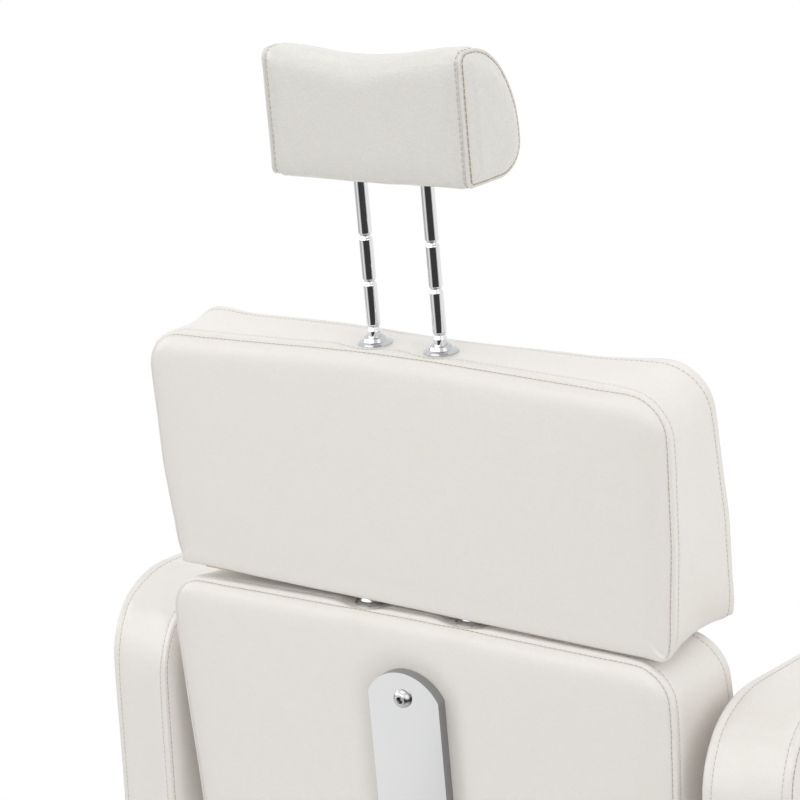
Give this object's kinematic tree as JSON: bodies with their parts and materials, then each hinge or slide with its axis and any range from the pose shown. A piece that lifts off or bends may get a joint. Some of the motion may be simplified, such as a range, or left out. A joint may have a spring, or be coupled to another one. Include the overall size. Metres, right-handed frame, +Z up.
{
  "type": "threading chair",
  "caption": "Reclining salon chair on a lifting, swivelling column, with a round base, slab arms, a sliding upper back and a headrest on notched rods.",
  "frame": {"origin": "centre of the round base's underside, on the floor under the lifting column", "axes": "+Z up, the sitter faces -Y, +X is at the sitter's left hand"},
  "size_m": [0.774, 0.8704, 1.252],
  "materials": {
    "leatherette": "satin",
    "chrome": "polished",
    "rubber": "matte",
    "black_steel": "satin",
    "zinc_steel": "satin",
    "plywood": "matte",
    "bronze": "satin"
  },
  "bodies": {
    "base": {"floor_ring": "rubber", "base_dish": "chrome", "backing_plate": "zinc_steel", "base_bolts": "zinc_steel", "pump_body": "black_steel", "pump_sleeve": "chrome", "gland_cap": "chrome", "pedal_pin": "zinc_steel"},
    "pedal": {"pedal_lever": "zinc_steel", "pedal_pad": "rubber"},
    "column": {"ram": "chrome", "thrust_washer": "bronze"},
    "seat": {"swivel_carrier": "black_steel", "carrier_bolts": "zinc_steel", "rail_left": "black_steel", "rail_right": "black_steel", "strap_front": "black_steel", "strap_rear": "black_steel", "seat_board": "plywood", "board_screws": "zinc_steel", "seat_cushion": "leatherette", "arm_core_left": "plywood", "arm_core_right": "plywood", "arm_left": "leatherette", "arm_right": "leatherette", "arm_bolts": "zinc_steel", "hinge_cheeks": "black_steel", "cheek_bolts": "zinc_steel", "hinge_pin": "zinc_steel", "hinge_nut": "zinc_steel", "spring_anchor": "black_steel", "anchor_pin": "zinc_steel", "spring_cylinder": "black_steel", "lever_block": "black_steel", "footrest_post": "black_steel", "footrest_spacers": "zinc_steel", "footrest_bolts": "zinc_steel", "foot_bar": "chrome", "foot_grips": "rubber"},
    "handle": {"recline_lever": "chrome", "lever_grip": "rubber"},
    "lower_back": {"hinge_bushes": "bronze", "back_bar": "chrome", "back_bar_bolts": "chrome", "lower_back_board": "plywood", "lower_back_cushion": "leatherette", "lower_guides": "zinc_steel", "lower_rod_plates": "chrome"},
    "upper_back": {"lower_rods": "chrome", "rod_clamps": "zinc_steel", "upper_back_board": "plywood", "upper_back_cushion": "leatherette", "upper_guides": "zinc_steel", "guide_cleats": "plywood", "upper_rod_plates": "chrome"},
    "headrest": {"head_rods": "chrome", "headrest_core": "plywood", "headrest_cushion": "leatherette"},
    "gas_spring_rod": {"spring_rod": "chrome", "crank_pin": "zinc_steel"}
  },
  "joints": [
    {"name": "lift", "type": "slide", "parent": "base", "child": "column", "axis": [0, 0, 1], "range_m": [0, 0.15]},
    {"name": "swivel", "type": "hinge", "parent": "column", "child": "seat", "pos_m": [0, 0, 0.3], "axis": [0, 0, 1], "continuous": true},
    {"name": "recline", "type": "hinge", "parent": "seat", "child": "lower_back", "pos_m": [0, 0.19, 0.415], "axis": [-1, 0, 0], "range_deg": [0, 45]},
    {"name": "gas_spring", "type": "slide", "parent": "seat", "child": "gas_spring_rod", "axis": [0, -1, 0], "range_m": [0, 0.03388]},
    {"name": "back_slide", "type": "slide", "parent": "lower_back", "child": "upper_back", "axis": [0, 0.1452, 0.9894], "range_m": [0, 0.1]},
    {"name": "headrest_slide", "type": "slide", "parent": "upper_back", "child": "headrest", "axis": [0, 0.1452, 0.9894], "range_m": [-0.136, 0.04]},
    {"name": "pedal_pump", "type": "hinge", "parent": "base", "child": "pedal", "pos_m": [0.076, 0, 0.095], "axis": [0, 1, 0], "range_deg": [0, 20], "stiffness_Nm_per_rad": 8, "springref_deg": -34.38},
    {"name": "handle_pull", "type": "hinge", "parent": "seat", "child": "handle", "pos_m": [0.1, 0.04, 0.331], "axis": [-1, 0, 0], "range_deg": [0, 25], "stiffness_Nm_per_rad": 1.2, "springref_deg": -28.65}
  ],
  "couplings": [
    {"joint": "gas_spring", "follows": "recline", "m_per_rad": 0.042878}
  ]
}
